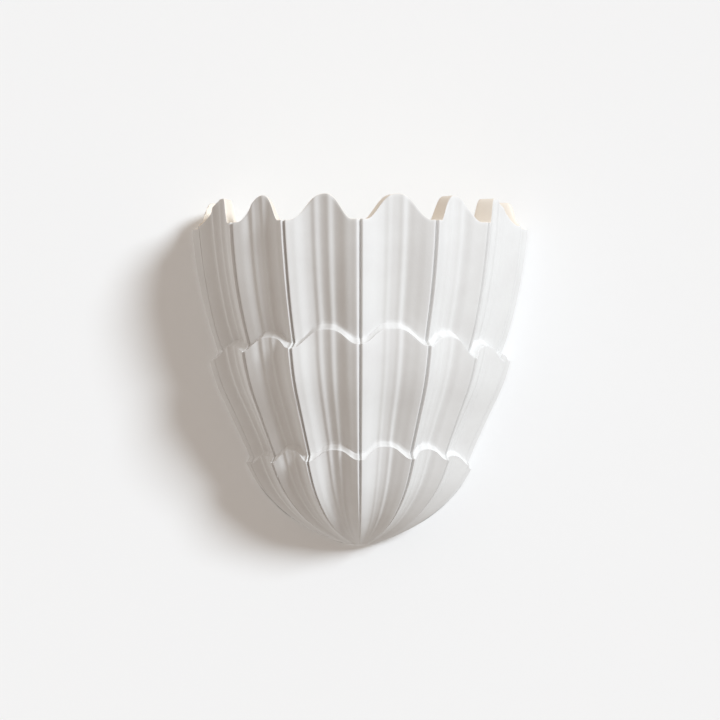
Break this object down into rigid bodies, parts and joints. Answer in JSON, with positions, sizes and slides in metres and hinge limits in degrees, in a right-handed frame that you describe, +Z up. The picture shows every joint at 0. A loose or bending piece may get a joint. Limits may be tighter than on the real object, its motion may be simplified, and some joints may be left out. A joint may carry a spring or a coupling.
{
  "type": "shell wall light",
  "caption": "Half-round uplight of cast plaster petals in tiers, open at the top, hung by a steel bar on a wall bracket that carries screw-in lamps.",
  "frame": {"origin": "middle of the two wall slots, on the back face of the wall plate, which is the wall's surface", "axes": "+Y into the wall, -Y out to the room, +X to the right seen from the room, +Z up"},
  "size_m": [0.305, 0.1524, 0.3095],
  "materials": {
    "plaster": "matte, hand finished",
    "zinc_steel": "zinc plated",
    "white_steel": "satin powder coat",
    "brass": "plain",
    "tinned": "tinned",
    "buffer": "soft clear rubber",
    "grey_rubber": "matte",
    "nylon": "natural",
    "earth_sleeve": "green with a yellow stripe",
    "lead_sleeve": "white silicone sleeve",
    "holder": "moulded",
    "lamp_insulator": "black glass",
    "lamp_cap": "rolled thread",
    "opal_glass": "opal"
  },
  "bodies": {
    "bracket": {"cable_grommet": "grey_rubber", "earth_cup_washer": "brass", "earth_lead": "earth_sleeve", "earth_ring_terminal": "tinned", "earth_screw": "brass", "holder_contact_left": "brass", "holder_contact_right": "brass", "holder_cup_left": "holder", "holder_cup_right": "holder", "holder_locknuts": "zinc_steel", "holder_nipple_left": "zinc_steel", "holder_nipple_right": "zinc_steel", "holder_sleeve_left": "holder", "holder_sleeve_right": "holder", "holder_thread_left": "brass", "holder_thread_right": "brass", "lamp_bridge": "white_steel", "lamp_bridge_screws": "zinc_steel", "lamp_lead_left": "lead_sleeve", "lamp_lead_right": "lead_sleeve", "terminal_block": "nylon", "terminal_fixing_screws": "zinc_steel", "terminal_screws": "zinc_steel", "wall_plate": "white_steel", "weld_nuts": "white_steel"},
    "shell": {"shell_shade": "plaster", "hanging_bar": "zinc_steel", "hanging_bar_inserts": "brass", "hanging_bar_screws": "zinc_steel", "hanging_bar_washers": "zinc_steel", "wall_pads": "buffer"},
    "clamp_screw_left": {"clamp_screw_left": "brass"},
    "clamp_screw_right": {"clamp_screw_right": "brass"},
    "lamp_left": {"lamp_cap_left": "lamp_cap", "lamp_insulator_left": "lamp_insulator", "lamp_globe_left": "opal_glass"},
    "lamp_right": {"lamp_cap_right": "lamp_cap", "lamp_insulator_right": "lamp_insulator", "lamp_globe_right": "opal_glass"}
  },
  "joints": [
    {"name": "shell_lift", "type": "slide", "parent": "bracket", "child": "shell", "axis": [0, 0, 1], "range_m": [0, 0.014]},
    {"name": "clamp_screw_left_turn", "type": "hinge", "parent": "bracket", "child": "clamp_screw_left", "pos_m": [-0.046, -0.019, 0.031], "axis": [0, -1, 0], "range_deg": [0, 720]},
    {"name": "lamp_left_turn", "type": "hinge", "parent": "bracket", "child": "lamp_left", "pos_m": [-0.042, -0.062, 0], "axis": [0, 0, 1], "range_deg": [0, 1080]},
    {"name": "clamp_screw_right_turn", "type": "hinge", "parent": "bracket", "child": "clamp_screw_right", "pos_m": [0.046, -0.019, 0.031], "axis": [0, -1, 0], "range_deg": [0, 720]},
    {"name": "lamp_right_turn", "type": "hinge", "parent": "bracket", "child": "lamp_right", "pos_m": [0.042, -0.062, 0], "axis": [0, 0, 1], "range_deg": [0, 1080]}
  ]
}
